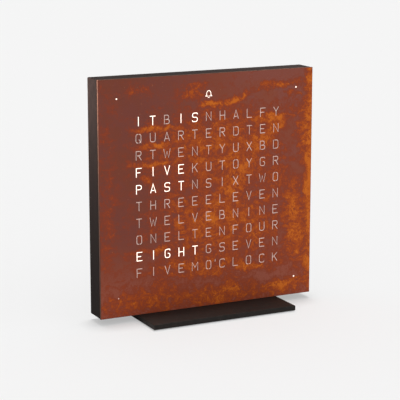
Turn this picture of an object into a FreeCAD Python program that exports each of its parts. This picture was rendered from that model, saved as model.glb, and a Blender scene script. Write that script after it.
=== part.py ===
import FreeCAD, Part
import math
import os
import re
import Sketcher

# A square desk clock that tells the time in lit words, standing on a flat base plate.
# Millimetres. The origin is on the floor under the middle of the base, X runs to the right,
# Y to the back and Z up, so the face looks along -Y.

# Driving sizes
SIZES = {
    # The square face, and where its lights are
    "case_side": 135.0,
    "corner_round": 0.6,
    "rim_bevel": 0.35,
    "dot_inset": 11.0,
    "dot_width": 0.9,
    "bell_drop": 11.5,
    "letter_margin_side": 24.0,
    "letter_margin_top": 24.3,
    "letter_columns": 11,
    "letter_rows": 10,
    # The layers, from the front plate to the rear cover
    "plate_thickness": 1.2,
    "tape_thickness": 0.2,
    "tape_setback": 0.5,
    "diffuser_thickness": 0.5,
    "diffuser_gap": 0.3,
    "grid_depth": 4.3,
    "grid_border_thickness": 2.0,
    "grid_gap": 0.3,
    "board_thickness": 1.6,
    "board_gap": 0.6,
    "cover_thickness": 2.0,
    "cover_gap": 0.2,
    # The light wells in the grid, which narrow towards the board
    "well_wall": 0.8,
    "well_draft": 5.0,
    "dot_well": 3.2,
    "bell_well": 6.0,
    "grid_rim": 1.1,
    # The moulded housing and the posts in it
    "wall": 2.0,
    "flange_thickness": 1.0,
    "post_setback": 0.35,
    "post_bevel": 1.2,
    "notch_gap": 0.4,
    "part_gap": 0.3,
    # Light-emitting diodes
    "led_length": 2.0,
    "led_width": 1.25,
    "led_height": 0.8,
    # Screws of the rear cover
    "cover_screw_width": 2.0,
    "cover_screw_length": 8.0,
    "cover_screw_head": 3.6,
    "thread_gap": 0.05,
    "shank_gap": 0.2,
    "head_gap": 0.07,
    "tip_gap": 0.4,
    # Four setting buttons in a column on the back, each on a switch on the board
    "button_inset": 19.5,
    "button_pitch": 14.0,
    "button_width": 6.0,
    "button_gap": 0.15,
    "button_proud": 0.8,
    "button_travel": 0.5,
    "cap_flange_width": 8.0,
    "cap_flange": 0.8,
    "cap_gap": 0.3,
    "switch_side": 6.0,
    "switch_height": 3.4,
    "switch_bore_depth": 1.6,
    "plunger_width": 3.4,
    "plunger_gap": 0.1,
    "plunger_proud": 0.9,
    # Power inlet
    "inlet_rise": 20.0,
    "inlet_width": 8.94,
    "inlet_height": 3.26,
    "inlet_wall": 0.3,
    "inlet_recess": 0.2,
    "inlet_gap": 0.3,
    "inlet_floor": 1.5,
    "tongue_width": 6.69,
    "tongue_thickness": 0.7,
    "tongue_setback": 1.2,
    # Alarm buzzer and the slots that it sounds through
    "buzzer_inset": 23.5,
    "buzzer_rise": 28.0,
    "buzzer_width": 12.0,
    "buzzer_height": 5.0,
    "buzzer_hole": 2.0,
    "buzzer_hole_depth": 0.8,
    "sound_slot_length": 8.0,
    "sound_slot_height": 1.2,
    "sound_slot_pitch": 2.4,
    "sound_slots": 5,
    # Backup cell and its holder
    "cell_inset": 27.5,
    "cell_drop": 10.0,
    "cell_width": 12.5,
    "cell_thickness": 2.0,
    "cell_gap": 0.15,
    "holder_floor": 0.6,
    "holder_wall": 1.4,
    "holder_slot": 7.0,
    # Chips
    "controller_side": 10.0,
    "controller_height": 1.4,
    "controller_rise": 4.0,
    "driver_length": 9.9,
    "driver_width": 3.9,
    "driver_height": 1.5,
    "driver_pitch": 16.0,
    "driver_rise": 24.0,
    "driver_count": 3,
    "chip_bevel": 0.25,
    # Posts of the rear cover that press on the board
    "cover_post_width": 4.0,
    "cover_post_inset_side": 27.5,
    "cover_post_inset_top": 17.5,
    # Base plate, its pad, and the screws that hold the case on it
    "base_width": 90.0,
    "base_depth": 60.0,
    "base_thickness": 3.0,
    "base_bevel": 0.3,
    "pad_thickness": 0.5,
    "pad_setback": 2.0,
    "pad_hole_gap": 1.0,
    "base_screw_spacing": 60.0,
    "base_screw_width": 3.0,
    "base_screw_head": 6.0,
    "base_screw_length": 8.0,
    "insert_width": 4.2,
    "insert_length": 5.0,
    "insert_gap": 0.05,
    "base_boss_width": 9.0,
    "base_boss_rise": 7.0,
}

# Sizes and places worked out from them, each from those above it
PLACES = {
    "half_side": "case_side / 2",
    "inside_half": "half_side - wall",
    "dot_offset": "half_side - dot_inset",
    "bell_offset": "half_side - bell_drop",
    "light_half": "dot_offset + dot_well / 2 + grid_rim",
    "opening_half": "light_half + diffuser_gap",
    "post_start": "opening_half + post_setback",
    "post_middle": "(post_start + inside_half) / 2",
    "notch_start": "post_start - notch_gap",
    "letter_step_across": "(case_side - 2 * letter_margin_side) / (letter_columns - 1)",
    "letter_step_up": "(case_side - 2 * letter_margin_top) / (letter_rows - 1)",
    "button_room": "switch_height + plunger_proud + cap_flange + cap_gap",
    "rear_room": "max(button_room; buzzer_height + part_gap)",
    "layers_ahead": "plate_thickness + diffuser_thickness + grid_depth + board_thickness",
    "case_depth": "layers_ahead + rear_room + cover_thickness",
    "face_y": "-case_depth / 2",
    "plate_back": "face_y + plate_thickness",
    "housing_front": "plate_back + tape_thickness",
    "diffuser_back": "plate_back + diffuser_thickness",
    "flange_back": "housing_front + flange_thickness",
    "border_back": "flange_back + grid_border_thickness",
    "board_front": "diffuser_back + grid_depth",
    "board_back": "board_front + board_thickness",
    "cover_front": "board_back + rear_room",
    "case_back": "cover_front + cover_thickness",
    "case_bottom": "pad_thickness + base_thickness",
    "case_middle": "case_bottom + half_side",
    "cap_inner": "cover_front - cap_gap - cap_flange",
    "plunger_inner": "board_back + switch_height - switch_bore_depth + button_travel + plunger_gap",
    "button_x": "half_side - button_inset",
    "buzzer_x": "buzzer_inset - half_side",
    "cell_x": "cell_inset - half_side",
    "inlet_z": "inlet_rise - half_side",
    "cell_pocket": "cell_width / 2 + cell_gap",
    "base_boss_front": "border_back + part_gap",
    "base_boss_back": "cover_front - part_gap",
    "base_screw_y": "(base_boss_front + base_boss_back) / 2",
}

BUTTON_NAMES = ["hour", "minute", "mode", "alarm"]
SIDES = 4
TINY = 1e-6

document = FreeCAD.newDocument("WordClock")


def formula(text):
    """The text with each named size or place pointed at the object that holds it."""
    def with_owner(match):
        name = match.group()
        if name in SIZES:
            return "Sizes." + name
        if name in PLACES:
            return "Places." + name
        return name
    return re.sub("[a-z_]+", with_owner, text)


def make_sheet():
    """The driving sizes, one to a row."""
    sheet = document.addObject("Spreadsheet::Sheet", "Sizes")
    for row, (name, number) in enumerate(SIZES.items(), 1):
        sheet.set(f"A{row}", name)
        sheet.set(f"B{row}", str(number))
        sheet.setAlias(f"B{row}", name)
    document.recompute()


def make_places():
    """The places worked out from the sheet."""
    places = document.addObject("App::VarSet", "Places")
    for name, text in PLACES.items():
        places.addProperty("App::PropertyFloat", name)
        places.setExpression(name, formula(text))
    document.recompute()
    return places


def new_body(name, x="0", y="0", z="0"):
    """An empty body that is named for its piece and stands at the given place."""
    body = document.addObject("PartDesign::Body", name)
    body.Label = name
    for axis, text in zip("xyz", (x, y, z)):
        body.setExpression("Placement.Base." + axis, formula(text))
    return body


def origin_part(body, role):
    """One of the body's own origin planes or axes."""
    return next(part for part in body.Origin.OriginFeatures if part.Role == role)


def new_sketch(body, name, role="XZ_Plane", right="0", up="0", out="0"):
    """A sketch on an origin plane, shifted along its own two axes and out along its normal."""
    sketch = body.newObject("Sketcher::SketchObject", name)
    sketch.AttachmentSupport = [(origin_part(body, role), "")]
    sketch.MapMode = "FlatFace"
    for axis, text in zip("xyz", (right, up, out)):
        sketch.setExpression("AttachmentOffset.Base." + axis, formula(text))
    return sketch


def bind(sketch, kind, *target, start, text):
    """A sketch constraint that starts at the curve as drawn and then follows a formula."""
    index = sketch.addConstraint(Sketcher.Constraint(kind, *target, start))
    sketch.setExpression(f"Constraints[{index}]", formula(text))


def pin(sketch, curve, point, x, y):
    """Fixes one point of a curve at x and y, measured from the sketch's origin."""
    place = sketch.getPoint(curve, point)
    bind(sketch, "DistanceX", -1, 1, curve, point, start=place.x, text=x)
    bind(sketch, "DistanceY", -1, 1, curve, point, start=place.y, text=y)


def outline(sketch, corners):
    """A closed outline of straight lines through corners given as pairs of formulas."""
    first = sketch.GeometryCount
    count = len(corners)
    turns = [2 * math.pi * step / count for step in range(count)]
    starts = [FreeCAD.Vector(math.cos(turn), math.sin(turn), 0) for turn in turns]
    for step in range(count):
        sketch.addGeometry(Part.LineSegment(starts[step], starts[(step + 1) % count]), False)
    for step, (x, y) in enumerate(corners):
        following = first + (step + 1) % count
        sketch.addConstraint(Sketcher.Constraint("Coincident", first + step, 2, following, 1))
        pin(sketch, first + step, 1, x, y)


def rectangle(sketch, left, bottom, right, top):
    """A rectangle between four formulas."""
    outline(sketch, [(left, bottom), (right, bottom), (right, top), (left, top)])


def centred(sketch, half_width, half_height):
    """A rectangle about the sketch's origin."""
    rectangle(sketch, f"-({half_width})", f"-({half_height})", half_width, half_height)


def circle(sketch, radius, x="0", y="0"):
    """A circle of a given radius about x and y."""
    seed = Part.Circle(FreeCAD.Vector(), FreeCAD.Vector(0, 0, 1), 1.0)
    index = sketch.addGeometry(seed, False)
    pin(sketch, index, 3, x, y)
    bind(sketch, "Radius", index, start=seed.Radius, text=radius)


def round_ended_slot(sketch, width, height):
    """A slot about the sketch's origin with half-round ends, wide along the sketch's first axis."""
    radius = f"({height}) / 2"
    reach = f"(({width}) - ({height})) / 2"
    quarter = math.pi / 2
    arcs = []
    for turn in (0, math.pi):
        seed = Part.Circle(FreeCAD.Vector(math.cos(turn), 0, 0), FreeCAD.Vector(0, 0, 1), 1.0)
        arc = Part.ArcOfCircle(seed, turn - quarter, turn + quarter)
        arcs.append(sketch.addGeometry(arc, False))
    lines = []
    for end, start in (arcs, arcs[::-1]):
        line = Part.LineSegment(sketch.getPoint(end, 2), sketch.getPoint(start, 1))
        lines.append(sketch.addGeometry(line, False))
    for arc, sign, other in zip(arcs, ("", "-"), ("-", "")):
        pin(sketch, arc, 1, sign + reach, other + radius)
        pin(sketch, arc, 2, sign + reach, sign + radius)
        middle = sketch.getPoint(arc, 3)
        bind(sketch, "DistanceX", -1, 1, arc, 3, start=middle.x, text=sign + reach)
    for line, end, start in zip(lines, arcs, arcs[::-1]):
        sketch.addConstraint(Sketcher.Constraint("Coincident", end, 2, line, 1))
        sketch.addConstraint(Sketcher.Constraint("Coincident", line, 2, start, 1))


def pad(body, sketch, length):
    """Raises the sketch along its normal: to the front from an XZ plane, up from an XY plane."""
    feature = body.newObject("PartDesign::Pad", sketch.Name + "Pad")
    feature.Profile = sketch
    feature.setExpression("Length", formula(length))
    document.recompute()
    return feature


def revolve(body, sketch):
    """Turns the sketch once round its upright axis."""
    feature = body.newObject("PartDesign::Revolution", sketch.Name + "Turned")
    feature.Profile = sketch
    feature.ReferenceAxis = (sketch, ["V_Axis"])
    feature.Angle = 360
    document.recompute()
    return feature


def must_have_cut(body, feature, volume_before):
    """Stops the build where a cut has taken nothing away."""
    if body.Shape.Volume > volume_before - TINY:
        raise RuntimeError(f"{feature.Label} cuts nothing from {body.Label}")


def pocket(body, sketch, depth, along_normal=True, draft=None):
    """Cuts the sketch into the body, along its normal or against it, with a draft that narrows it."""
    volume = body.Shape.Volume
    feature = body.newObject("PartDesign::Pocket", sketch.Name + "Cut")
    feature.Profile = sketch
    feature.Reversed = along_normal
    feature.setExpression("Length", formula(depth))
    if draft:
        feature.setExpression("TaperAngle", formula(f"-{draft}"))
    document.recompute()
    must_have_cut(body, feature, volume)
    return feature


def countersunk_hole(body, sketch, radius, head_radius):
    """A through hole for a countersunk screw, whose head lies in the sketch's plane."""
    volume = body.Shape.Volume
    feature = body.newObject("PartDesign::Hole", sketch.Name + "Hole")
    feature.Profile = sketch
    document.recompute()
    feature.ThreadType = "None"
    feature.DepthType = "ThroughAll"
    feature.setExpression("Diameter", formula(f"2 * ({radius})"))
    feature.HoleCutType = "Countersink"
    feature.HoleCutCustomValues = True
    feature.setExpression("HoleCutDiameter", formula(f"2 * ({head_radius})"))
    feature.HoleCutCountersinkAngle = 90
    feature.Reversed = True
    document.recompute()
    must_have_cut(body, feature, volume)
    return feature


def at_four_sides(body, *features):
    """Repeats features on all four sides, or in all four corners, of the square face."""
    pattern = body.newObject("PartDesign::PolarPattern", "AtFourSides")
    pattern.Originals = list(features)
    pattern.Axis = (origin_part(body, "Y_Axis"), [""])
    pattern.Angle = 360
    pattern.Occurrences = SIDES
    body.Tip = pattern
    document.recompute()


def in_line(body, features, direction, length, count):
    """Repeats features along one direction, over a length between the first and the last."""
    pattern = body.newObject("PartDesign::LinearPattern", "InLine")
    pattern.Originals = features
    pattern.Direction = direction
    pattern.setExpression("Length", formula(length))
    pattern.setExpression("Occurrences", formula(str(count)))
    body.Tip = pattern
    document.recompute()


def over_letters(body, feature, sketch):
    """Repeats the lower left feature at every letter of the face."""
    pattern = body.newObject("PartDesign::LinearPattern", "OverLetters")
    pattern.Originals = [feature]
    pattern.Direction = (sketch, ["H_Axis"])
    pattern.setExpression("Length", formula("letter_step_across * (letter_columns - 1)"))
    pattern.setExpression("Occurrences", formula("letter_columns"))
    pattern.Direction2 = (sketch, ["V_Axis"])
    pattern.setExpression("Length2", formula("letter_step_up * (letter_rows - 1)"))
    pattern.setExpression("Occurrences2", formula("letter_rows"))
    body.Tip = pattern
    document.recompute()


def dress(body, kind, size_property, size, chosen):
    """A fillet or chamfer on those edges of the body that chosen picks."""
    base = body.Tip
    numbered = enumerate(base.Shape.Edges, 1)
    names = [f"Edge{number}" for number, edge in numbered if chosen(edge)]
    feature = body.newObject("PartDesign::" + kind, kind)
    feature.Base = (base, names)
    feature.setExpression(size_property, formula(size))
    document.recompute()


def runs_along_y(edge):
    return edge.BoundBox.XLength < TINY and edge.BoundBox.ZLength < TINY


def lies_across_y(edge):
    return edge.BoundBox.YLength < TINY


def lies_across_z(edge):
    return edge.BoundBox.ZLength < TINY


def countersunk_profile(head, width, length, sign):
    """Half the outline of a countersunk screw, its flat head at 0 and its shank along sign."""
    cone = f"{sign}({head} - {width}) / 2"
    return [("0", "0"), (f"{head} / 2", "0"), (f"{width} / 2", cone),
            (f"{width} / 2", f"{sign}{length}"), ("0", f"{sign}{length}")]


def make_front_plate():
    """Steel face with its four minute dots."""
    body = new_body("front_plate", y="plate_back", z="case_middle")
    face = new_sketch(body, "PlateOutline")
    centred(face, "half_side", "half_side")
    pad(body, face, "plate_thickness")
    dress(body, "Fillet", "Radius", "corner_round", runs_along_y)
    dot = new_sketch(body, "MinuteDot")
    circle(dot, "dot_width / 2", "dot_offset", "dot_offset")
    at_four_sides(body, pocket(body, dot, "plate_thickness"))


def make_bonding_tape():
    """Ring of double-sided tape between the plate and the housing's flange."""
    body = new_body("bonding_tape", y="housing_front", z="case_middle")
    ring = new_sketch(body, "TapeRing")
    centred(ring, "half_side - tape_setback", "half_side - tape_setback")
    centred(ring, "opening_half", "opening_half")
    pad(body, ring, "tape_thickness")


def make_diffuser():
    """Opal sheet behind the plate."""
    body = new_body("diffuser", y="diffuser_back", z="case_middle")
    sheet = new_sketch(body, "DiffuserSheet")
    centred(sheet, "light_half", "light_half")
    pad(body, sheet, "diffuser_thickness")


def make_light_grid():
    """Moulded grid with a tapered light well for every letter, dot and the bell."""
    body = new_body("light_grid", y="board_front", z="case_middle")
    border = new_sketch(body, "BorderOutline", out="board_front - border_back")
    centred(border, "inside_half - grid_gap", "inside_half - grid_gap")
    pad(body, border, "grid_border_thickness")
    corner = new_sketch(body, "CornerNotch")
    rectangle(corner, "notch_start", "notch_start", "half_side", "half_side")
    at_four_sides(body, pocket(body, corner, "grid_depth"))
    block = new_sketch(body, "BlockOutline")
    centred(block, "light_half", "light_half")
    pad(body, block, "grid_depth")

    letter = new_sketch(body, "LetterWell", out="grid_depth")
    left = "letter_margin_side - half_side"
    low = "letter_margin_top - half_side"
    across = "(letter_step_across - well_wall) / 2"
    up = "(letter_step_up - well_wall) / 2"
    rectangle(letter, f"{left} - {across}", f"{low} - {up}", f"{left} + {across}", f"{low} + {up}")
    well = pocket(body, letter, "grid_depth", along_normal=False, draft="well_draft")
    over_letters(body, well, letter)
    dot = new_sketch(body, "DotWell", out="grid_depth")
    near = "dot_offset - dot_well / 2"
    far = "dot_offset + dot_well / 2"
    rectangle(dot, near, near, far, far)
    at_four_sides(body, pocket(body, dot, "grid_depth", along_normal=False, draft="well_draft"))
    bell = new_sketch(body, "BellWell", up="bell_offset", out="grid_depth")
    centred(bell, "bell_well / 2", "bell_well / 2")
    pocket(body, bell, "grid_depth", along_normal=False, draft="well_draft")


def make_led_board():
    """Circuit board notched round the corner posts and base bosses, held against the grid by the cover."""
    body = new_body("led_board", y="board_back", z="case_middle")
    board = new_sketch(body, "BoardOutline")
    centred(board, "inside_half - board_gap", "inside_half - board_gap")
    pad(body, board, "board_thickness")
    corner = new_sketch(body, "CornerNotch")
    rectangle(corner, "notch_start", "notch_start", "half_side", "half_side")
    at_four_sides(body, pocket(body, corner, "board_thickness"))
    boss = new_sketch(body, "BossNotch", right="-base_screw_spacing / 2", up="-half_side")
    reach = "base_boss_width / 2 + notch_gap"
    rectangle(boss, f"-({reach})", "0", reach, "base_boss_rise + notch_gap")
    notch = pocket(body, boss, "board_thickness")
    in_line(body, [notch], (boss, ["H_Axis"]), "base_screw_spacing", 2)


def make_letter_leds():
    """One light behind each letter."""
    body = new_body("letter_leds", y="board_front", z="case_middle")
    chip = new_sketch(body, "LetterLed", right="letter_margin_side - half_side",
                      up="letter_margin_top - half_side")
    centred(chip, "led_length / 2", "led_width / 2")
    over_letters(body, pad(body, chip, "led_height"), chip)


def make_dot_leds():
    """One light behind each minute dot."""
    body = new_body("dot_leds", y="board_front", z="case_middle")
    chip = new_sketch(body, "DotLed", right="dot_offset", up="dot_offset")
    centred(chip, "led_length / 2", "led_width / 2")
    at_four_sides(body, pad(body, chip, "led_height"))


def make_bell_led():
    """The light behind the alarm bell."""
    body = new_body("bell_led", y="board_front", z="case_middle + bell_offset")
    chip = new_sketch(body, "BellLed")
    centred(chip, "led_length / 2", "led_width / 2")
    pad(body, chip, "led_height")


def make_controller_chip():
    """The chip that keeps the time."""
    body = new_body("controller_chip", y="board_back + controller_height",
                    z="case_middle + controller_rise")
    chip = new_sketch(body, "ControllerOutline")
    centred(chip, "controller_side / 2", "controller_side / 2")
    pad(body, chip, "controller_height")
    dress(body, "Chamfer", "Size", "chip_bevel", runs_along_y)


def make_driver_chips():
    """A row of chips that drive the lights."""
    body = new_body("driver_chips", y="board_back + driver_height",
                    z="case_middle + driver_rise")
    row = "driver_pitch * (driver_count - 1)"
    chip = new_sketch(body, "DriverOutline", right=f"-{row} / 2")
    centred(chip, "driver_length / 2", "driver_width / 2")
    in_line(body, [pad(body, chip, "driver_height")], (chip, ["H_Axis"]), row, "driver_count")


def make_cell_holder():
    """Open-topped holder with a slot at one side to push the cell out."""
    height = "(holder_floor + cell_thickness)"
    body = new_body("cell_holder", x="cell_x", y=f"board_back + {height}", z="case_middle - cell_drop")
    block = new_sketch(body, "HolderOutline")
    centred(block, "cell_pocket + holder_wall", "cell_pocket + holder_wall")
    pad(body, block, height)
    dress(body, "Chamfer", "Size", "holder_wall", runs_along_y)
    well = new_sketch(body, "CellPocket")
    circle(well, "cell_pocket")
    pocket(body, well, "cell_thickness")
    slot = new_sketch(body, "PushSlot")
    rectangle(slot, "0", "-holder_slot / 2", "cell_pocket + holder_wall", "holder_slot / 2")
    pocket(body, slot, "cell_thickness")


def make_backup_cell():
    """Coin cell that keeps the time while the power is off."""
    body = new_body("backup_cell", x="cell_x", y="board_back + holder_floor + cell_thickness",
                    z="case_middle - cell_drop")
    can = new_sketch(body, "CellOutline")
    circle(can, "cell_width / 2")
    pad(body, can, "cell_thickness")


def make_alarm_buzzer():
    """Round buzzer with its sound hole towards the back."""
    body = new_body("alarm_buzzer", x="buzzer_x", y="board_back", z="case_middle + buzzer_rise")
    half = new_sketch(body, "BuzzerProfile", "XY_Plane")
    outline(half, [("0", "0"), ("buzzer_width / 2", "0"), ("buzzer_width / 2", "buzzer_height"),
                   ("buzzer_hole / 2", "buzzer_height"),
                   ("buzzer_hole / 2", "buzzer_height - buzzer_hole_depth"),
                   ("0", "buzzer_height - buzzer_hole_depth")])
    revolve(body, half)


def make_inlet_shell():
    """Drawn steel shell of the power inlet."""
    body = new_body("inlet_shell", y="case_back - inlet_recess", z="case_middle + inlet_z")
    length = "case_back - inlet_recess - board_back"
    outside = new_sketch(body, "ShellOutside")
    round_ended_slot(outside, "inlet_width", "inlet_height")
    pad(body, outside, length)
    inside = new_sketch(body, "ShellInside")
    round_ended_slot(inside, "inlet_width - 2 * inlet_wall", "inlet_height - 2 * inlet_wall")
    pocket(body, inside, length)


def make_inlet_insert():
    """Moulded floor of the inlet with the contact tongue on it."""
    body = new_body("inlet_insert", y="board_back + inlet_floor", z="case_middle + inlet_z")
    floor = new_sketch(body, "InletFloor")
    round_ended_slot(floor, "inlet_width - 2 * inlet_wall", "inlet_height - 2 * inlet_wall")
    pad(body, floor, "inlet_floor")
    reach = "(case_back - inlet_recess - tongue_setback - board_back - inlet_floor)"
    tongue = new_sketch(body, "ContactTongue", out=f"-{reach}")
    centred(tongue, "tongue_width / 2", "tongue_thickness / 2")
    pad(body, tongue, reach)


def make_tact_switches():
    """Four push switches on the board, each with a bore for its plunger."""
    body = new_body("tact_switches", x="button_x", y="board_back + switch_height", z="case_middle")
    lowest = f"-button_pitch * {len(BUTTON_NAMES) - 1} / 2"
    box = new_sketch(body, "SwitchOutline", up=lowest)
    centred(box, "switch_side / 2", "switch_side / 2")
    block = pad(body, box, "switch_height")
    bore = new_sketch(body, "PlungerBore", up=lowest)
    circle(bore, "plunger_width / 2 + plunger_gap")
    hole = pocket(body, bore, "switch_bore_depth")
    row = f"button_pitch * {len(BUTTON_NAMES) - 1}"
    in_line(body, [block, hole], (box, ["V_Axis"]), row, len(BUTTON_NAMES))


def button_height(number):
    """Height of one button's axis, counted from the top of the column."""
    return f"case_middle + button_pitch * ({(len(BUTTON_NAMES) - 1) / 2} - {number})"


def make_button(number, name):
    """Turned cap with a flange that keeps it behind the cover."""
    body = new_body(name + "_button", x="button_x", y="cap_inner", z=button_height(number))
    half = new_sketch(body, "CapProfile", "XY_Plane")
    tip = "(case_back + button_proud - cap_inner)"
    outline(half, [("0", "0"), ("cap_flange_width / 2", "0"), ("cap_flange_width / 2", "cap_flange"),
                   ("button_width / 2", "cap_flange"), ("button_width / 2", tip), ("0", tip)])
    revolve(body, half)


def make_plunger(number, name):
    """Round plunger between the switch and the cap."""
    body = new_body(name + "_plunger", x="button_x", y="cap_inner", z=button_height(number))
    end = new_sketch(body, "PlungerEnd")
    circle(end, "plunger_width / 2")
    pad(body, end, "cap_inner - plunger_inner")


def make_housing():
    """Moulded case: four walls, a flange behind the plate, posts for the screws and two base bosses."""
    depth = "(case_back - housing_front)"
    body = new_body("housing", y="case_back", z="case_middle")
    block = new_sketch(body, "CaseOutline")
    centred(block, "half_side", "half_side")
    pad(body, block, depth)
    dress(body, "Fillet", "Radius", "corner_round", runs_along_y)
    dress(body, "Chamfer", "Size", "rim_bevel", lies_across_y)
    inside = new_sketch(body, "Inside")
    centred(inside, "inside_half", "inside_half")
    pocket(body, inside, "case_back - flange_back")
    opening = new_sketch(body, "LightOpening")
    centred(opening, "opening_half", "opening_half")
    pocket(body, opening, depth)

    post = new_sketch(body, "CornerPost", out="cover_thickness")
    outline(post, [("post_start + post_bevel", "post_start"), ("inside_half", "post_start"),
                   ("inside_half", "inside_half"), ("post_start", "inside_half"),
                   ("post_start", "post_start + post_bevel")])
    corner_post = pad(body, post, "cover_front - flange_back")
    pilot = new_sketch(body, "PilotHole", right="post_middle", up="post_middle", out="cover_thickness")
    circle(pilot, "cover_screw_width / 2 + thread_gap")
    pilot_hole = pocket(body, pilot, "cover_screw_length - cover_thickness + tip_gap")
    at_four_sides(body, corner_post, pilot_hole)

    first_x = "-base_screw_spacing / 2"
    boss = new_sketch(body, "BaseBoss", right=first_x, up="-half_side", out="case_back - base_boss_back")
    rectangle(boss, "-base_boss_width / 2", "wall", "base_boss_width / 2", "base_boss_rise")
    base_boss = pad(body, boss, "base_boss_back - base_boss_front")
    hole = new_sketch(body, "InsertHole", "XY_Plane", right=first_x,
                      up="base_screw_y - case_back", out="-half_side")
    circle(hole, "insert_width / 2 + insert_gap")
    insert_hole = pocket(body, hole, "insert_length + tip_gap")
    in_line(body, [base_boss, insert_hole], (hole, ["H_Axis"]), "base_screw_spacing", 2)


def make_rear_cover():
    """Flat cover set into the back, with openings for the buttons, the inlet and the buzzer."""
    body = new_body("rear_cover", y="case_back", z="case_middle")
    plate = new_sketch(body, "CoverOutline")
    centred(plate, "inside_half - cover_gap", "inside_half - cover_gap")
    pad(body, plate, "cover_thickness")

    post = new_sketch(body, "BoardPosts", out="cover_thickness")
    for across in ("", "-"):
        for up in ("", "-"):
            middle_x = f"{across}(half_side - cover_post_inset_side)"
            middle_z = f"{up}(half_side - cover_post_inset_top)"
            rectangle(post, f"{middle_x} - cover_post_width / 2", f"{middle_z} - cover_post_width / 2",
                      f"{middle_x} + cover_post_width / 2", f"{middle_z} + cover_post_width / 2")
    pad(body, post, "rear_room")

    hole = new_sketch(body, "ScrewHole")
    shank = "cover_screw_width / 2 + shank_gap"
    circle(hole, shank, "post_middle", "post_middle")
    at_four_sides(body, countersunk_hole(body, hole, shank, "cover_screw_head / 2 + head_gap"))

    row = f"button_pitch * {len(BUTTON_NAMES) - 1}"
    opening = new_sketch(body, "ButtonHole", right="button_x", up=f"-{row} / 2")
    circle(opening, "button_width / 2 + button_gap")
    button = pocket(body, opening, "cover_thickness")
    in_line(body, [button], (opening, ["V_Axis"]), row, len(BUTTON_NAMES))

    inlet = new_sketch(body, "InletHole", up="inlet_z")
    round_ended_slot(inlet, "inlet_width + 2 * inlet_gap", "inlet_height + 2 * inlet_gap")
    pocket(body, inlet, "cover_thickness")

    stack = "(sound_slot_pitch * (sound_slots - 1))"
    sound = new_sketch(body, "SoundSlot", right="buzzer_x", up=f"buzzer_rise - {stack} / 2")
    centred(sound, "sound_slot_length / 2", "sound_slot_height / 2")
    slot = pocket(body, sound, "cover_thickness")
    in_line(body, [slot], (sound, ["V_Axis"]), stack, "sound_slots")


def make_cover_screws():
    """Countersunk screws through the rear cover into the corner posts."""
    body = new_body("cover_screws", y="case_back", z="case_middle")
    half = new_sketch(body, "ScrewProfile", "XY_Plane", right="post_middle", out="post_middle")
    outline(half, countersunk_profile("cover_screw_head", "cover_screw_width",
                                      "cover_screw_length", "-"))
    at_four_sides(body, revolve(body, half))


def make_base_plate():
    """Steel base plate, drilled and countersunk from below."""
    body = new_body("base_plate", z="pad_thickness")
    plate = new_sketch(body, "BaseOutline", "XY_Plane")
    centred(plate, "base_width / 2", "base_depth / 2")
    pad(body, plate, "base_thickness")
    dress(body, "Chamfer", "Size", "base_bevel", lies_across_z)
    hole = new_sketch(body, "ScrewHole", "XY_Plane", right="-base_screw_spacing / 2", up="base_screw_y")
    shank = "base_screw_width / 2 + shank_gap"
    circle(hole, shank)
    screw = countersunk_hole(body, hole, shank, "base_screw_head / 2 + head_gap")
    in_line(body, [screw], (hole, ["H_Axis"]), "base_screw_spacing", 2)


def make_base_screws():
    """Countersunk screws up through the base plate into the housing."""
    body = new_body("base_screws", y="base_screw_y", z="pad_thickness")
    half = new_sketch(body, "ScrewProfile", right="-base_screw_spacing / 2")
    outline(half, countersunk_profile("base_screw_head", "base_screw_width", "base_screw_length", ""))
    in_line(body, [revolve(body, half)], (half, ["H_Axis"]), "base_screw_spacing", 2)


def make_threaded_inserts():
    """Brass inserts in the housing's base bosses, flush with its bottom."""
    body = new_body("threaded_inserts", y="base_screw_y", z="case_bottom")
    half = new_sketch(body, "InsertProfile", right="-base_screw_spacing / 2")
    rectangle(half, "base_screw_width / 2 + thread_gap", "0", "insert_width / 2", "insert_length")
    in_line(body, [revolve(body, half)], (half, ["H_Axis"]), "base_screw_spacing", 2)


def make_base_pad():
    """Thin pad under the base plate, cut out round the screws."""
    body = new_body("base_pad")
    sheet = new_sketch(body, "PadOutline", "XY_Plane")
    centred(sheet, "base_width / 2 - pad_setback", "base_depth / 2 - pad_setback")
    for side in ("", "-"):
        circle(sheet, "base_screw_head / 2 + pad_hole_gap", f"{side}base_screw_spacing / 2",
               "base_screw_y")
    pad(body, sheet, "pad_thickness")


def check_document():
    """Stops before anything is written if an object has failed or a piece has no sound solid."""
    for item in document.Objects:
        if "Invalid" in item.State or "Error" in item.State:
            raise RuntimeError(f"{item.Label} is {item.State}")
    for body in document.findObjects("PartDesign::Body"):
        if body.Shape.isNull() or not body.Shape.isValid() or not body.Shape.Solids:
            raise RuntimeError(f"{body.Label} has no sound solid")


def write_parts():
    """One STEP file for each piece, named for it."""
    os.makedirs("parts", exist_ok=True)
    for body in document.findObjects("PartDesign::Body"):
        body.Shape.exportStep(f"parts/{body.Label}.step")
        print(f"{body.Label}: {len(body.Shape.Solids)} solids, {body.Shape.Volume:.1f} cubic mm")


make_sheet()
make_places()
make_front_plate()
make_bonding_tape()
make_diffuser()
make_light_grid()
make_led_board()
make_letter_leds()
make_dot_leds()
make_bell_led()
make_controller_chip()
make_driver_chips()
make_cell_holder()
make_backup_cell()
make_alarm_buzzer()
make_inlet_shell()
make_inlet_insert()
make_tact_switches()
for number, name in enumerate(BUTTON_NAMES):
    make_button(number, name)
    make_plunger(number, name)
make_housing()
make_rear_cover()
make_cover_screws()
make_base_plate()
make_base_screws()
make_threaded_inserts()
make_base_pad()
document.recompute()
check_document()
write_parts()
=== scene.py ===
import math

import bmesh
import bpy
from mathutils import Matrix, Vector


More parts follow.
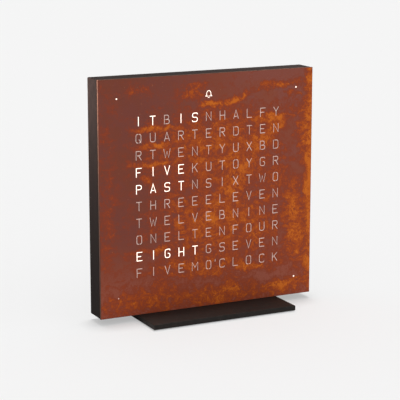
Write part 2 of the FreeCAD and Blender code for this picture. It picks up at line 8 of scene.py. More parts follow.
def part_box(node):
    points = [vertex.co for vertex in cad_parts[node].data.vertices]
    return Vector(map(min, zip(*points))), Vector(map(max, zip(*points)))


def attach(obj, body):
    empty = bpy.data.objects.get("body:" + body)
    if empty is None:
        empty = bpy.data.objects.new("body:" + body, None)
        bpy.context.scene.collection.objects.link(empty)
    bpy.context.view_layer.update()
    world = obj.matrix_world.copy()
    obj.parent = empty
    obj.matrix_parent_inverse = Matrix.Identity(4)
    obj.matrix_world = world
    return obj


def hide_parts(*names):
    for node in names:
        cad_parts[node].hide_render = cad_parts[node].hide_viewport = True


MM = 0.001

# The dial's rows of letters, and the lit letters by row, first column and last column
ROWS = ("ITBISNHALFY", "QUARTERDTEN", "RTWENTYUXBD", "FIVEKUTOYGR", "PASTNSIXTWO",
        "THREEELEVEN", "TWELVEBNINE", "ONELTENFOUR", "EIGHTGSEVEN", "FIVEMOCLOCK")
LIT = ((0, 0, 1), (0, 3, 4), (3, 0, 3), (4, 0, 3), (8, 0, 4))

# Middles of the outer letters from the face's edges, and the letters' size
SIDE_MARGIN = 24.0 * MM
TOP_MARGIN = 24.3 * MM
LETTER_WIDTH = 3.5 * MM
LETTER_HEIGHT = 5.3 * MM
STROKE = 0.46 * MM
CORNER = 1.3 * MM
WIDER = {"M": 1.15, "W": 1.3}

# Each letter's strokes as points on a grid of eight by eight, and an r for rounded corners
GRID = 8
STROKES = {
    "A": "00 48 80|12 52", "B": "00 08|r08 78 74 24|r24 84 80 20", "C": "r87 88 08 00 80 81",
    "D": "00 08|r28 88 80 20", "E": "88 08 00 80|04 64", "F": "00 08 88|04 64",
    "G": "r87 88 08 00 80 84 54", "H": "00 08|80 88|04 84", "I": "40 48", "K": "00 08|88 03|35 80",
    "L": "08 00 80", "M": "00 08 43 88 80", "N": "00 08 80 88", "O": "r38 08 00 30|r58 88 80 50",
    "P": "00 08|r08 88 84 24", "Q": "r38 08 00 30|r58 88 80 50|53 80",
    "R": "00 08|r08 88 84 24|44 80", "S": "r87 88 08 04 84 80 00 01", "T": "08 88|48 40",
    "U": "r08 00 80 88", "V": "08 40 88", "W": "08 20 46 60 88", "X": "08 80|00 88",
    "Y": "08 44 88|44 40",
}

# The row and column of the letter that the apostrophe follows, and how its stroke falls
APOSTROPHE = (9, 5)
APOSTROPHE_FALL = Vector((0.15, 1.0)) * MM

# Minute dots at the face's corners
DOT_INSET = 11.0 * MM
DOT_WIDTH = 0.9 * MM
DOT_SIDES = 16

# The alarm bell: its middle below the face's top, its outline and clapper in millimetres
BELL_DROP = 11.5 * MM
BELL_WEIGHT = 0.75
BELL = (((-0.45, -1.25), (-1.9, -1.25), (-1.3, -0.5), (-1.3, 0.7), (-0.75, 1.55), (0.0, 1.85),
         (0.75, 1.55), (1.3, 0.7), (1.3, -0.5), (1.9, -1.25), (0.45, -1.25)),
        ((-0.35, -2.0), (0.35, -2.0)))

# The plate's eased front edge, and the share along Y below which a face is part of its rim
PLATE_EASE = 0.2 * MM
RIM_NORMAL = 0.9

# How far the cuts run past the plate, and how the opal stands in them
OVERRUN = 1.0 * MM
UNLIT_SUNK = 0.18 * MM
LIT_SUNK = 0.05 * MM
OPAL_CLEARANCE = 0.02 * MM

# Limits of the mesh work: how far a mitre reaches, and what counts as one point
MITRE_LIMIT = 0.4
SHORTEST_STEP = 0.01 * MM
SAME_POINT = 0.001 * MM
SMALLEST_EDGE = 0.002 * MM

# Screws in millimetres: radius of head and shank, land at the rim, bevel of the tip
COVER_HEAD, COVER_SHANK = 1.8, 1.0
BASE_HEAD, BASE_SHANK = 3.0, 1.5
RIM_LAND = 0.08
TIP_BEVEL = 0.3
SCREW_SIDES = 32
SCREW_CREASE = 30

# Sockets in the screw heads, each centred on the head's face
BLADE = (1.9 * MM, 0.42 * MM, 1.4 * MM)
CROSS_MIDDLE = {"segments": 12, "radius1": 0.55 * MM, "radius2": 0.2 * MM, "depth": 2.0 * MM}
HEXAGON = {"segments": 6, "radius1": 1.15 * MM, "radius2": 1.15 * MM, "depth": 3.0 * MM}

# A button cap in millimetres: radius and height of the flange, radius and drop from the tip
CAP_FLANGE = ((0, 0), (4.0, 0), (4.0, 0.8), (3.0, 0.8))
CAP_TOP = ((3.0, 0.3), (2.93, 0.1), (2.75, 0), (2.5, 0.03), (1.8, 0.2), (1.0, 0.29), (0, 0.32))
CAP_SIDES = 48
CAP_CREASE = 35

# Contacts above and below the tongue of the power inlet
CONTACTS = 12
CONTACT_PITCH = 0.5 * MM
CONTACT_LIFT = 0.35 * MM
CONTACT_INSET = 2.25 * MM
CONTACT_SIZE = Vector((0.28, 3.5, 0.06)) * MM

METAL = {"Metallic": 1.0}

# Darker and lighter colour, grain, roughness, bump in millimetres, other inputs, stretch
PLAIN_FINISHES = {
    "cut_edge": ((62, 40, 32), (84, 54, 42), 4.0, 0.5, 0.02, {"Specular IOR Level": 0.08}),
    "unlit_opal": ((222, 195, 184), (240, 213, 202), 2.0, 0.5, 0.01),
    "case_coat": ((20, 14, 12), (27, 20, 18), 3.0, 0.5, 0.02, {"Specular IOR Level": 0.02}),
    "cover_plastic": ((36, 32, 30), (44, 39, 36), 2.2, 0.55, 0.05, {"Specular IOR Level": 0.3}),
    "base_coat": ((32, 29, 27), (39, 35, 33), 3.5, 0.5, 0.02, {"Specular IOR Level": 0.08}),
    "black_plastic": ((22, 22, 23), (32, 32, 33), 3.0, 0.5, 0.02),
    "grid_plastic": ((205, 203, 198), (222, 220, 214), 2.0, 0.5, 0.02),
    "board": ((16, 52, 34), (24, 68, 44), 2.0, 0.35, 0.02),
    "light_chip": ((214, 208, 176), (236, 230, 200), 4.0, 0.35, 0.01),
    "chip": ((26, 26, 28), (38, 38, 40), 4.0, 0.5, 0.02),
    "cell_can": ((176, 176, 178), (196, 196, 198), 4.0, 0.28, 0.01, METAL),
    "inlet_steel": ((170, 172, 176), (196, 198, 202), 3.0, 0.28, 0.01, METAL, (1, 6, 1)),
    "button_plastic": ((30, 29, 29), (42, 40, 40), 3.0, 0.45, 0.02),
    "screw_steel": ((40, 40, 42), (60, 60, 62), 5.0, 0.32, 0.01, METAL),
    "brass": ((176, 140, 72), (198, 162, 92), 4.0, 0.3, 0.01, METAL),
    "pad_rubber": ((24, 24, 25), (34, 34, 35), 4.0, 0.75, 0.04),
    "tape": ((30, 30, 31), (42, 42, 43), 3.0, 0.6, 0.02),
    "opal": ((212, 208, 204), (226, 222, 218), 1.5, 0.45, 0.01),
    "contact_gold": ((196, 158, 84), (214, 178, 104), 5.0, 0.25, 0.01, METAL),
}

# The light that shows through the lit marks
LIT_TINT = (255, 238, 222)
LIT_STRENGTH = 1.15

# The finish of each frame node that the scene keeps
NODE_FINISHES = {
    "bonding_tape": "tape", "diffuser": "opal", "light_grid": "grid_plastic",
    "led_board": "board", "letter_leds": "light_chip", "dot_leds": "light_chip",
    "bell_led": "light_chip", "controller_chip": "chip", "driver_chips": "chip",
    "cell_holder": "black_plastic", "backup_cell": "cell_can", "alarm_buzzer": "black_plastic",
    "inlet_shell": "inlet_steel", "inlet_insert": "black_plastic",
    "tact_switches": "black_plastic", "housing": "case_coat", "rear_cover": "cover_plastic",
    "base_plate": "base_coat", "threaded_inserts": "brass", "base_pad": "pad_rubber",
    "hour_plunger": "button_plastic", "minute_plunger": "button_plastic",
    "mode_plunger": "button_plastic", "alarm_plunger": "button_plastic",
}

# Orange rust on the face in millimetres from its lower left corner: middle across and up,
# half width and height, turn in degrees, weight
RUST_CLOUDS = (
    (135.5, 70, 6, 80, 0, 1.2), (133, 106, 7, 26, -4, 0.9), (124, 42, 8, 30, 6, 0.85),
    (104, 96, 26, 6, 44, 0.9), (86, 74, 22, 8, 50, 0.9), (69, 52, 20, 7, 52, 0.75),
    (108, 107, 15, 2.8, 3, 0.95), (70, 117.5, 10, 2.2, -10, 0.95), (85, 120, 11, 2.2, 16, 0.95),
    (58, 125, 9, 6, 0, 0.55), (112, 126, 18, 2.5, 6, 0.65), (125, 119, 8, 2.2, -20, 0.5),
    (36, 105.5, 18, 2.4, 0, 0.9), (34, 96, 16, 2.2, -2, 0.8), (32, 86.5, 14, 2.2, 0, 0.8),
    (46, 100, 14, 8, 0, 0.5), (24, 128, 8, 3, 0, 0.5), (28, 78, 5, 3, 0, 0.45),
    (95, 20, 16, 3, -10, 0.9), (84, 15, 12, 4, 6, 0.55), (112, 24, 8, 8, 0, 0.5),
    (116, 6, 18, 5, 4, 0.9), (74, 6, 34, 7, 0, 0.75), (30, 8, 34, 10, 0, 0.62),
    (36, 37, 20, 3, 6, 0.6), (48, 60, 12, 5, 30, 0.55), (98, 40, 18, 12, 0, 0.65),
    (76, 90, 44, 28, 0, 0.66), (76, 50, 44, 26, 0, 0.68), (110, 70, 12, 16, 20, 0.5),
    (5, 60, 7, 66, 0, 0.3), (64, 24, 44, 8, 0, 0.62),
)
CLOUD_DEPTH = 50
CLOUD_REACH = 1.8

# Veins of rust inside the clouds: scale, width and weight
RUST_VEINS = ((0.06, 0.07, 0.42), (0.16, 0.07, 0.34), (0.42, 0.08, 0.3))

# Rust colours, each with the amount of rust that it starts at and is full at
RUST_COLOURS = ((0.1, 0.42, (126, 50, 24)), (0.38, 0.72, (154, 66, 18)),
                (0.66, 1.15, (188, 97, 26)))

# Stage, lamps and camera
FLOOR_REACH = 15.0
FLOOR_DROP = 0.02 * MM
FLOOR_GLOW = 0.45
WORLD_STRENGTH = 0.5
CAMERA_PLACE = (-0.37825, -0.75905, 0.24272)
CAMERA_DOWN = 11.868
CAMERA_RIGHT = 26.377
CAMERA_LENS = 135.5
SENSOR_WIDTH = 36.0

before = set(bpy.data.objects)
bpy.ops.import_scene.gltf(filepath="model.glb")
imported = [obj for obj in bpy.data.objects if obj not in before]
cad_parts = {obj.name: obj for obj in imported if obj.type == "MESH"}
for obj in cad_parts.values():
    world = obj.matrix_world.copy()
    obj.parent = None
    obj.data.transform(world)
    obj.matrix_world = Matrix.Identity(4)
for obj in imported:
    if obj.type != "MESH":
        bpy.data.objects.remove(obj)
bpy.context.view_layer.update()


def corners(node_name):
    """The low and the high corner of a frame node's box."""
    low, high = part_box(node_name)
    return Vector(low), Vector(high)


def finish_piece(name, bm, *materials, body="clock"):
    """Makes an object of the mesh, with its normals outwards, and ties it to a body."""
    bmesh.ops.recalc_face_normals(bm, faces=bm.faces)
    mesh = bpy.data.meshes.new(name)
    bm.to_mesh(mesh)
    bm.free()
    piece = bpy.data.objects.new(name, mesh)
    bpy.context.scene.collection.objects.link(piece)
    for material in materials:
        mesh.materials.append(material)
    if body:
        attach(piece, body)
    return piece


def smooth_shading(piece, crease):
    """Smooth faces, with edges over the crease angle in degrees kept sharp."""
    piece.data.shade_smooth()
    piece.data.set_sharp_from_angle(angle=math.radians(crease))


def add_box(bm, low, high):
    """A box between two corners."""
    place = Matrix.Translation((low + high) / 2) @ Matrix.Diagonal((*(high - low), 1))
    bmesh.ops.create_cube(bm, size=1, matrix=place)


def add_dot(bm, centre, radius, front, back):
    """A round prism through the face."""
    middle = Vector((centre[0], (front + back) / 2, centre[1]))
    place = Matrix.Translation(middle) @ Matrix.Rotation(math.radians(90), 4, "X")
    bmesh.ops.create_cone(bm, cap_ends=True, segments=DOT_SIDES, radius1=radius, radius2=radius,
                          depth=abs(back - front), matrix=place)


def rounded(points, radius, steps=4):
    """The path with its inner corners rounded."""
    path = [points[0]]
    last = len(points) - 1
    for index in range(1, last):
        corner = points[index]
        to_before = points[index - 1] - corner
        to_after = points[index + 1] - corner
        room_before = to_before.length * (1.0 if index == 1 else 0.5)
        room_after = to_after.length * (1.0 if index == last - 1 else 0.5)
        trim = min(radius, room_before, room_after)
        start = corner + to_before.normalized() * trim
        end = corner + to_after.normalized() * trim
        for step in range(steps + 1):
            share = step / steps
            path.append(start.lerp(corner, share).lerp(corner.lerp(end, share), share))
    path.append(points[-1])
    return [point for index, point in enumerate(path)
            if index == 0 or (point - path[index - 1]).length > SHORTEST_STEP]


def add_stroke(bm, points, width, front, back):
    """A square-ended prism of one width along a path in the face's plane."""
    points = list(points)
    points[0] = points[0] + (points[0] - points[1]).normalized() * width / 2
    points[-1] = points[-1] + (points[-1] - points[-2]).normalized() * width / 2
    sides = [(b - a).normalized().orthogonal() for a, b in zip(points, points[1:])]
    left = []
    right = []
    for before, after, point in zip([sides[0]] + sides, sides + [sides[-1]], points):
        across = (before + after).normalized()
        reach = across * (width / 2 / max(across.dot(after), MITRE_LIMIT))
        left.append(point + reach)
        right.append(point - reach)
    outline = [bm.verts.new((p.x, front, p.y)) for p in left + right[::-1]]
    raised = bmesh.ops.extrude_face_region(bm, geom=[bm.faces.new(outline)])["geom"]
    moved = [part for part in raised if isinstance(part, bmesh.types.BMVert)]
    bmesh.ops.translate(bm, verts=moved, vec=(0, back - front, 0))


def turn_profile(bm, profile, place, steps):
    """Turns a profile of radius and depth pairs, in millimetres, once round its axis."""
    points = [bm.verts.new((radius * MM, 0, depth * MM)) for radius, depth in profile]
    lines = [bm.edges.new(pair) for pair in zip(points, points[1:])]
    bmesh.ops.spin(bm, geom=points + lines, cent=(0, 0, 0), axis=(0, 0, 1), steps=steps,
                   angle=math.radians(360), use_merge=True)
    # Points of the profiles turned before this one carry a tag
    turned = [vert for vert in bm.verts if not vert.tag]
    bmesh.ops.remove_doubles(bm, verts=turned, dist=SAME_POINT)
    turned = [vert for vert in bm.verts if not vert.tag]
    bmesh.ops.transform(bm, matrix=place, verts=turned)
    for vert in turned:
        vert.tag = True


def combine(piece, bm, operation):
    """Cuts the strokes from the piece, or keeps only what lies in them."""
    cutter = finish_piece(piece.name + "_strokes", bm, body=None)
    modifier = piece.modifiers.new("Strokes", "BOOLEAN")
    modifier.object = cutter
    modifier.operation = operation
    modifier.solver = "EXACT"
    modifier.use_self = True
    evaluated = piece.evaluated_get(bpy.context.evaluated_depsgraph_get())
    mesh = bpy.data.meshes.new_from_object(evaluated)
    piece.modifiers.clear()
    bm = bmesh.new()
    bm.from_mesh(mesh)
    bmesh.ops.remove_doubles(bm, verts=bm.verts, dist=SMALLEST_EDGE)
    bmesh.ops.dissolve_degenerate(bm, edges=bm.edges, dist=SMALLEST_EDGE)
    bmesh.ops.triangulate(bm, faces=[face for face in bm.faces if len(face.verts) > 4])
    bm.to_mesh(mesh)
    bm.free()
    piece.data = mesh
    bpy.data.objects.remove(cutter)


def letter_paths(letter, centre):
    """The strokes of one letter about its centre."""
    reach = (LETTER_WIDTH - STROKE) * WIDER.get(letter, 1.0)
    for stroke in STROKES[letter].split("|"):
        points = []
        for pair in stroke.lstrip("r").split():
            across = (int(pair[0]) / GRID - 0.5) * reach
            up = (int(pair[1]) / GRID - 0.5) * (LETTER_HEIGHT - STROKE)
            points.append(centre + Vector((across, up)))
        yield rounded(points, CORNER) if stroke.startswith("r") else points


def dial_paths(low, high, lit):
    """The strokes of all the lit or all the unlit letters on the face."""
    first = Vector((low.x + SIDE_MARGIN, high.z - TOP_MARGIN))
    last = Vector((high.x - SIDE_MARGIN, low.z + TOP_MARGIN))
    step_across = (last.x - first.x) / (len(ROWS[0]) - 1)
    step_down = (last.y - first.y) / (len(ROWS) - 1)
    for row, text in enumerate(ROWS):
        for column, letter in enumerate(text):
            shines = any(row == at and start <= column <= end for at, start, end in LIT)
            if shines != lit:
                continue
            centre = first + Vector((column * step_across, row * step_down))
            yield from letter_paths(letter, centre)
            if (row, column) == APOSTROPHE:
                top = centre + Vector((step_across / 2, LETTER_HEIGHT / 2))
                yield [top, top - APOSTROPHE_FALL]


def dot_places(low, high, lit):
    """Across and up of the three lit minute dots, or of the unlit one at the lower left."""
    middle = (low + high) / 2
    for side in (-1, 1):
        for level in (-1, 1):
            dim = side < 0 and level < 0
            if dim != lit:
                yield (middle.x + side * (high.x - middle.x - DOT_INSET),
                       middle.z + level * (high.z - middle.z - DOT_INSET))


def face_marks(low, high, lit, width):
    """Solid strokes, right through the plate, of its lit or of its unlit marks."""
    front = low.y - OVERRUN
    back = high.y + OVERRUN
    bm = bmesh.new()
    for path in dial_paths(low, high, lit):
        add_stroke(bm, path, width, front, back)
    for place in dot_places(low, high, lit):
        add_dot(bm, place, (DOT_WIDTH + width - STROKE) / 2, front, back)
    if lit:
        centre = Vector(((low.x + high.x) / 2, high.z - BELL_DROP))
        for path in BELL:
            points = [centre + Vector(point) * MM for point in path]
            add_stroke(bm, points, width * BELL_WEIGHT, front, back)
    return bm


def make_plate(low, high, rust, cut_edge):
    """The face with its marks cut through, in place of the plain one."""
    bm = bmesh.new()
    add_box(bm, low, high)
    front_edges = [edge for edge in bm.edges
                   if all(vert.co.y < low.y + PLATE_EASE for vert in edge.verts)]
    bmesh.ops.bevel(bm, geom=front_edges, offset=PLATE_EASE, affect="EDGES", segments=2,
                    profile=0.5, material=-1)
    for face in bm.faces:
        if abs(face.normal.y) < RIM_NORMAL:
            face.material_index = 1
    plate = finish_piece("word_plate", bm, rust, cut_edge)
    for lit in (False, True):
        combine(plate, face_marks(low, high, lit, STROKE), "DIFFERENCE")
    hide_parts("front_plate")


def make_filling(name, low, high, lit, sunk, material):
    """Opal in the cuts of the lit or of the unlit marks, a little behind the front."""
    bm = bmesh.new()
    add_box(bm, low + Vector((0, sunk, 0)), high)
    marks = finish_piece(name, bm, material)
    combine(marks, face_marks(low, high, lit, STROKE - OPAL_CLEARANCE), "INTERSECT")


def cross_socket(bm, place):
    """A cross recess with a pointed middle."""
    for turn in (0, 90):
        blade = bmesh.ops.create_cube(bm, size=1, matrix=Matrix.Diagonal((*BLADE, 1)))
        spun = place @ Matrix.Rotation(math.radians(turn), 4, "Z")
        bmesh.ops.transform(bm, matrix=spun, verts=blade["verts"])
    bmesh.ops.create_cone(bm, cap_ends=True, matrix=place, **CROSS_MIDDLE)


def hexagon_socket(bm, place):
    """A six-sided recess."""
    bmesh.ops.create_cone(bm, cap_ends=True, matrix=place, **HEXAGON)


def make_screws(name, node_name, steel, head, shank, length, places, socket):
    """Countersunk screws with a land at the rim, a blunt tip and a socket, in place of a node."""
    profile = ((0, 0), (head - RIM_LAND, 0), (head, RIM_LAND), (shank, head - shank),
               (shank, length - TIP_BEVEL), (shank - TIP_BEVEL, length), (0, length))
    bm = bmesh.new()
    for place in places:
        turn_profile(bm, profile, place, SCREW_SIDES)
    screws = finish_piece(name, bm, steel)
    bm = bmesh.new()
    for place in places:
        socket(bm, place)
    combine(screws, bm, "DIFFERENCE")
    smooth_shading(screws, SCREW_CREASE)
    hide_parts(node_name)


def make_cover_screws(steel):
    """Four screws at the corners of the rear cover, with cross sockets."""
    low, high = corners("cover_screws")
    inset = COVER_HEAD * MM
    into_cover = Matrix.Rotation(math.radians(90), 4, "X")
    places = [Matrix.Translation((x, high.y, z)) @ into_cover
              for x in (low.x + inset, high.x - inset) for z in (low.z + inset, high.z - inset)]
    make_screws("cover_screw_set", "cover_screws", steel, COVER_HEAD, COVER_SHANK,
                (high - low).y / MM, places, cross_socket)


def make_base_screws(steel):
    """Two screws up through the base plate, with hexagon sockets."""
    low, high = corners("base_screws")
    inset = BASE_HEAD * MM
    places = [Matrix.Translation((x, (low.y + high.y) / 2, low.z))
              for x in (low.x + inset, high.x - inset)]
    make_screws("base_screw_set", "base_screws", steel, BASE_HEAD, BASE_SHANK,
                (high - low).z / MM, places, hexagon_socket)


def make_cap(name, plastic):
    """A turned button cap with a dished top, in place of the plain button."""
    low, high = corners(name + "_button")
    tip = (high.y - low.y) / MM
    profile = CAP_FLANGE + tuple((radius, tip - drop) for radius, drop in CAP_TOP)
    place = Matrix.Translation(((low.x + high.x) / 2, low.y, (low.z + high.z) / 2))
    bm = bmesh.new()
    turn_profile(bm, profile, place @ Matrix.Rotation(math.radians(-90), 4, "X"), CAP_SIDES)
    cap = finish_piece(name + "_cap", bm, plastic, body=name + "_button")
    smooth_shading(cap, CAP_CREASE)
    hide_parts(name + "_button")


def make_contacts(gold):
    """Two rows of contacts along the tongue of the power inlet."""
    low, high = corners("inlet_insert")
    bm = bmesh.new()
    for number in range(CONTACTS):
        x = (low.x + high.x) / 2 + (number - (CONTACTS - 1) / 2) * CONTACT_PITCH
        for side in (-1, 1):
            z = (low.z + high.z) / 2 + side * CONTACT_LIFT
            centre = Vector((x, high.y - CONTACT_INSET, z))
            add_box(bm, centre - CONTACT_SIZE / 2, centre + CONTACT_SIZE / 2)
    contacts = finish_piece("inlet_contacts", bm, gold)


def node(tree, kind, inputs=None, **settings):
    """A node with its settings made and its inputs set or wired."""
    made = tree.nodes.new("ShaderNode" + kind)
    for name, value in settings.items():
        setattr(made, name, value)
    for name, value in (inputs or {}).items():
        if isinstance(value, bpy.types.NodeSocket):
            tree.links.new(value, made.inputs[name])
        else:
            made.inputs[name].default_value = value
    return made


def maths(tree, operation, *values):
    """One step of arithmetic."""
    return node(tree, "Math", dict(enumerate(values)), operation=operation).outputs[0]


def add_share(tree, total, value, share):
    """The total with a share of the value added."""
    return maths(tree, "ADD", total, maths(tree, "MULTIPLY", value, share))


def vectors(tree, operation, first, second):
    """One step of arithmetic on vectors, or on a vector and the number that scales it."""
    inputs = {0: first, "Scale" if operation == "SCALE" else 1: second}
    return node(tree, "VectorMath", inputs, operation=operation).outputs[0]


def ramp(tree, value, low, high, first=0.0, second=1.0):
    """A smooth step of the value."""
    inputs = {"Value": value, "From Min": low, "From Max": high, "To Min": first, "To Max": second}
    return node(tree, "MapRange", inputs, interpolation_type="SMOOTHSTEP").outputs[0]


def blend(tree, factor, first, second):
    """Two colours mixed by a factor."""
    inputs = {0: factor, 6: first, 7: second}
    return node(tree, "Mix", inputs, data_type="RGBA", blend_type="MIX").outputs[2]


def noise(tree, at, scale, detail, rough=0.55, warp=0.0):
    """Clouded noise from 0 to 1."""
    inputs = {"Vector": at, "Scale": scale, "Detail": detail, "Roughness": rough,
              "Distortion": warp}
    return node(tree, "TexNoise", inputs, noise_dimensions="3D").outputs["Fac"]


def colour(red, green, blue):
    """A colour given as it is seen, from 0 to 255, made linear."""
    values = []
    for share in (red / 255, green / 255, blue / 255):
        values.append(share / 12.92 if share <= 0.04045 else ((share + 0.055) / 1.055) ** 2.4)
    return (*values, 1.0)


def start_material(name):
    """An empty material and its coordinates in millimetres."""
    material = bpy.data.materials.new(name)
    material.use_nodes = True
    tree = material.node_tree
    tree.nodes.clear()
    coordinates = node(tree, "TexCoord").outputs["Object"]
    return material, tree, vectors(tree, "SCALE", coordinates, 1 / MM)


def end_material(tree, shade, rough, height, bump, inputs=None):
    """The surface shader with its bump in millimetres."""
    bumps = {"Height": height, "Strength": 1.0, "Distance": bump * MM}
    normal = node(tree, "Bump", bumps).outputs[0]
    values = {"Base Color": shade, "Roughness": rough, "Normal": normal, **(inputs or {})}
    shader = node(tree, "BsdfPrincipled", values).outputs[0]
    node(tree, "OutputMaterial", {"Surface": shader})


def plain_finish(name, dark, light, grain, rough, bump, inputs=None, stretch=(1, 1, 1)):
    """A finish that varies gently between two colours."""
    material, tree, at = start_material(name)
    at = vectors(tree, "MULTIPLY", at, stretch)
    coarse = noise(tree, at, grain * 0.12, 3.0)
    fine = noise(tree, at, grain, 6.0, 0.65)
    both = add_share(tree, maths(tree, "MULTIPLY", coarse, 0.6), fine, 0.4)
    shade = blend(tree, ramp(tree, both, 0.35, 0.65), colour(*dark), colour(*light))
    roughness = ramp(tree, both, 0.3, 0.7, rough - 0.06, rough + 0.06)
    end_material(tree, shade, roughness, fine, bump, inputs)
    return material


def glow_finish(name, tint, strength):
    """Opal plastic with a light close behind it."""
    material, tree, at = start_material(name)
    grain = noise(tree, at, 0.5, 2.0)
    level = ramp(tree, grain, 0.3, 0.7, strength * 0.9, strength * 1.1)
    end_material(tree, colour(*tint), 0.5, grain, 0.01,
                 {"Emission Color": colour(*tint), "Emission Strength": level})
    return material


def floor_finish():
    """White paper that keeps the object's shadow and is as bright as the background elsewhere."""
    material, tree, at = start_material("floor_paper")
    shade = blend(tree, noise(tree, at, 0.2, 2.0), colour(243, 243, 243), colour(244, 244, 244))
    paper = node(tree, "BsdfDiffuse", {"Color": shade, "Roughness": 0.0}).outputs[0]
    glow = node(tree, "Emission", {"Color": colour(246, 246, 246), "Strength": 1.0}).outputs[0]
    seen = node(tree, "LightPath").outputs["Is Camera Ray"]
    share = maths(tree, "MULTIPLY", seen, FLOOR_GLOW)
    both = node(tree, "MixShader", {0: share, 1: paper, 2: glow}).outputs[0]
    node(tree, "OutputMaterial", {"Surface": both})
    return material


def rust_cover(tree, bent):
    """How much of the orange clouds lies over a point, the strongest one alone."""
    cover = 0.0
    for across, up, half_width, half_height, turn, weight in RUST_CLOUDS:
        inputs = {"Vector": bent, "Location": (across, 0, up),
                  "Scale": (half_width, CLOUD_DEPTH, half_height),
                  "Rotation": (0, math.radians(-turn), 0)}
        local = node(tree, "Mapping", inputs, vector_type="TEXTURE").outputs[0]
        distance = node(tree, "VectorMath", {0: local}, operation="LENGTH").outputs["Value"]
        cloud = ramp(tree, distance, 0.0, CLOUD_REACH, weight, 0.0)
        cover = maths(tree, "MAXIMUM", cloud, cover)
    return cover


def rust_amount(tree, at, bent):
    """How rusted a point is: clouds, streaks that flow through them, veins and grains."""
    cover = rust_cover(tree, bent)
    streaks = vectors(tree, "MULTIPLY", bent, (0.1, 0.2, 0.17))
    flow = maths(tree, "SUBTRACT", noise(tree, streaks, 1.4, 12.0, 0.72, 0.5), 0.5)
    rust = add_share(tree, maths(tree, "MULTIPLY", cover, 0.66), flow, 2.1)
    for scale, width, weight in RUST_VEINS:
        line = maths(tree, "SUBTRACT", noise(tree, bent, scale, 6.0, 0.62, 1.2), 0.5)
        vein = ramp(tree, maths(tree, "ABSOLUTE", line), 0.0, width, weight, 0.0)
        rust = add_share(tree, rust, vein, cover)
    grains = maths(tree, "SUBTRACT", noise(tree, at, 0.9, 7.0, 0.7), 0.5)
    return add_share(tree, rust, grains, 0.9)


def steel_colour_and_painted_light(tree, at, bent, mottle):
    """The purple brown steel, with painted light: lighter to the right and paler low down."""
    place = node(tree, "SeparateXYZ", {0: at})
    left = blend(tree, ramp(tree, noise(tree, bent, 0.05, 5.0, 0.6), 0.4, 0.6),
                 colour(108, 51, 34), colour(106, 52, 42))
    right = blend(tree, ramp(tree, noise(tree, bent, 0.06, 5.0, 0.6), 0.4, 0.6),
                  colour(126, 62, 42), colour(124, 65, 53))
    # Painted light: the steel gets lighter towards the right of the face.
    shade = blend(tree, ramp(tree, place.outputs["X"], 20, 110), left, right)
    # Painted light: the steel gets paler towards the bottom of the face.
    painted_light_low = ramp(tree, place.outputs["Z"], 4, 50, 0.8, 0.0)
    shade = blend(tree, painted_light_low, shade, colour(144, 74, 54))
    return blend(tree, ramp(tree, mottle, 0.45, 0.62, 0.0, 0.55), shade, colour(122, 54, 30))


def rust_and_painted_light_finish(low):
    """Oiled, rusted steel with painted light: purple brown, orange clouds and veins, pits, pale
    specks.
    """
    material, tree, at = start_material("rusted_face")
    at = vectors(tree, "SUBTRACT", at, (low.x / MM, 0, low.z / MM))
    waves = {"Vector": at, "Scale": 0.12, "Detail": 7.0, "Roughness": 0.6}
    bend = node(tree, "TexNoise", waves).outputs["Color"]
    bend = vectors(tree, "SCALE", vectors(tree, "SUBTRACT", bend, (0.5, 0.5, 0.5)), 13.0)
    bent = vectors(tree, "ADD", at, bend)
    rust = rust_amount(tree, at, bent)
    mottle = noise(tree, at, 1.6, 8.0, 0.75)
    shade = steel_colour_and_painted_light(tree, at, bent, mottle)
    for start, full, tint in RUST_COLOURS:
        shade = blend(tree, ramp(tree, rust, start, full), shade, colour(*tint))
    pits = ramp(tree, noise(tree, at, 2.2, 5.0, 0.8), 0.62, 0.74, 0.0, 0.5)
    shade = blend(tree, pits, shade, colour(70, 30, 20))
    specks = ramp(tree, noise(tree, at, 1.3, 2.0, 0.5), 0.74, 0.78, 0.0, 0.6)
    shade = blend(tree, specks, shade, colour(206, 140, 92))
    rough = ramp(tree, rust, 0.2, 0.9, 0.55, 0.85)
    end_material(tree, shade, rough, add_share(tree, mottle, rust, 0.6), 0.04,
                 {"Specular IOR Level": 0.18})
    return material


def lay_floor():
    """A wide floor just under the object."""
    bm = bmesh.new()
    bmesh.ops.create_grid(bm, x_segments=1, y_segments=1, size=FLOOR_REACH,
                          matrix=Matrix.Translation((0, 0, -FLOOR_DROP)))
    floor = finish_piece("floor", bm, floor_finish(), body=None)
    return floor


def light_world():
    """Even light from all round."""
    world = bpy.context.scene.world or bpy.data.worlds.new("World")
    bpy.context.scene.world = world
    world.use_nodes = True
    tree = world.node_tree
    tree.nodes.clear()
    inputs = {"Color": (1, 1, 1, 1), "Strength": WORLD_STRENGTH}
    background = node(tree, "Background", inputs).outputs[0]
    node(tree, "OutputWorld", {"Surface": background})


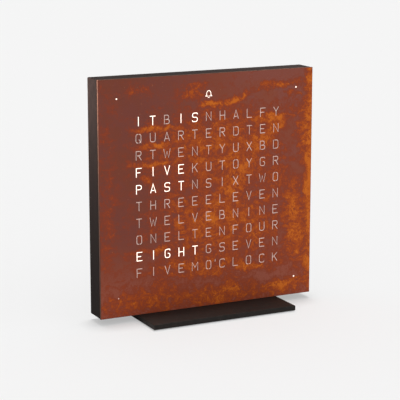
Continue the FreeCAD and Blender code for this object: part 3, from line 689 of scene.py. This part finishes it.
def add_lamp(name, kind, energy, place, aim=(0, 0, 0), receivers=None, **settings):
    """A lamp at a place, turned to a point, that may light only some receivers."""
    light = bpy.data.lights.new(name, kind)
    light.energy = energy
    for setting, value in settings.items():
        setattr(light, setting, value)
    lamp = bpy.data.objects.new(name, light)
    lamp.location = place
    lamp.visible_glossy = kind == "SUN"
    lamp.rotation_euler = (Vector(aim) - Vector(place)).to_track_quat("-Z", "Y").to_euler()
    if receivers is not None:
        lamp.light_linking.receiver_collection = receivers
    bpy.context.scene.collection.objects.link(lamp)


def place_camera():
    """The camera at the viewing angle of the photograph."""
    camera = bpy.data.cameras.new("camera")
    camera.lens = CAMERA_LENS
    camera.sensor_width = SENSOR_WIDTH
    viewer = bpy.data.objects.new("camera", camera)
    viewer.location = CAMERA_PLACE
    viewer.rotation_euler = (math.radians(90 - CAMERA_DOWN), 0, math.radians(-CAMERA_RIGHT))
    bpy.context.scene.collection.objects.link(viewer)
    bpy.context.scene.camera = viewer


finishes = {name: plain_finish(name, *values) for name, values in PLAIN_FINISHES.items()}
plate_low, plate_high = corners("front_plate")
lit_opal = glow_finish("lit_opal", LIT_TINT, LIT_STRENGTH)
make_plate(plate_low, plate_high, rust_and_painted_light_finish(plate_low), finishes["cut_edge"])
make_filling("unlit_marks", plate_low, plate_high, False, UNLIT_SUNK, finishes["unlit_opal"])
make_filling("lit_marks", plate_low, plate_high, True, LIT_SUNK, lit_opal)

make_cover_screws(finishes["screw_steel"])
make_base_screws(finishes["screw_steel"])
for button in ("hour", "minute", "mode", "alarm"):
    make_cap(button, finishes["button_plastic"])
make_contacts(finishes["contact_gold"])

for node_name, finish in NODE_FINISHES.items():
    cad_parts[node_name].material_slots[0].material = finishes[finish]

floor = lay_floor()
light_world()

# The fill lamps light the object alone, so that the floor keeps one soft shadow
without_floor = bpy.data.collections.new("without_floor")
without_floor.objects.link(floor)
without_floor.collection_objects[0].light_linking.link_state = "EXCLUDE"
add_lamp("top_lamp", "SUN", 1.6, (0.02, 0.05, 1.0), angle=math.radians(8))
add_lamp("front_lamp", "SUN", 1.15, (0.35, -1.0, 0.3), receivers=without_floor,
         angle=math.radians(40))
add_lamp("side_lamp", "AREA", 0.5, (-0.125, 0.025, 0.15), aim=(-0.0675, 0.015, 0.135),
         receivers=without_floor, size=0.05)
add_lamp("edge_lamp", "AREA", 0.7, (0.1, 0.05, 0.24), aim=(0.06, 0.01, 0.142),
         receivers=without_floor, size=0.06)

place_camera()
bpy.context.scene.view_settings.view_transform = "Standard"
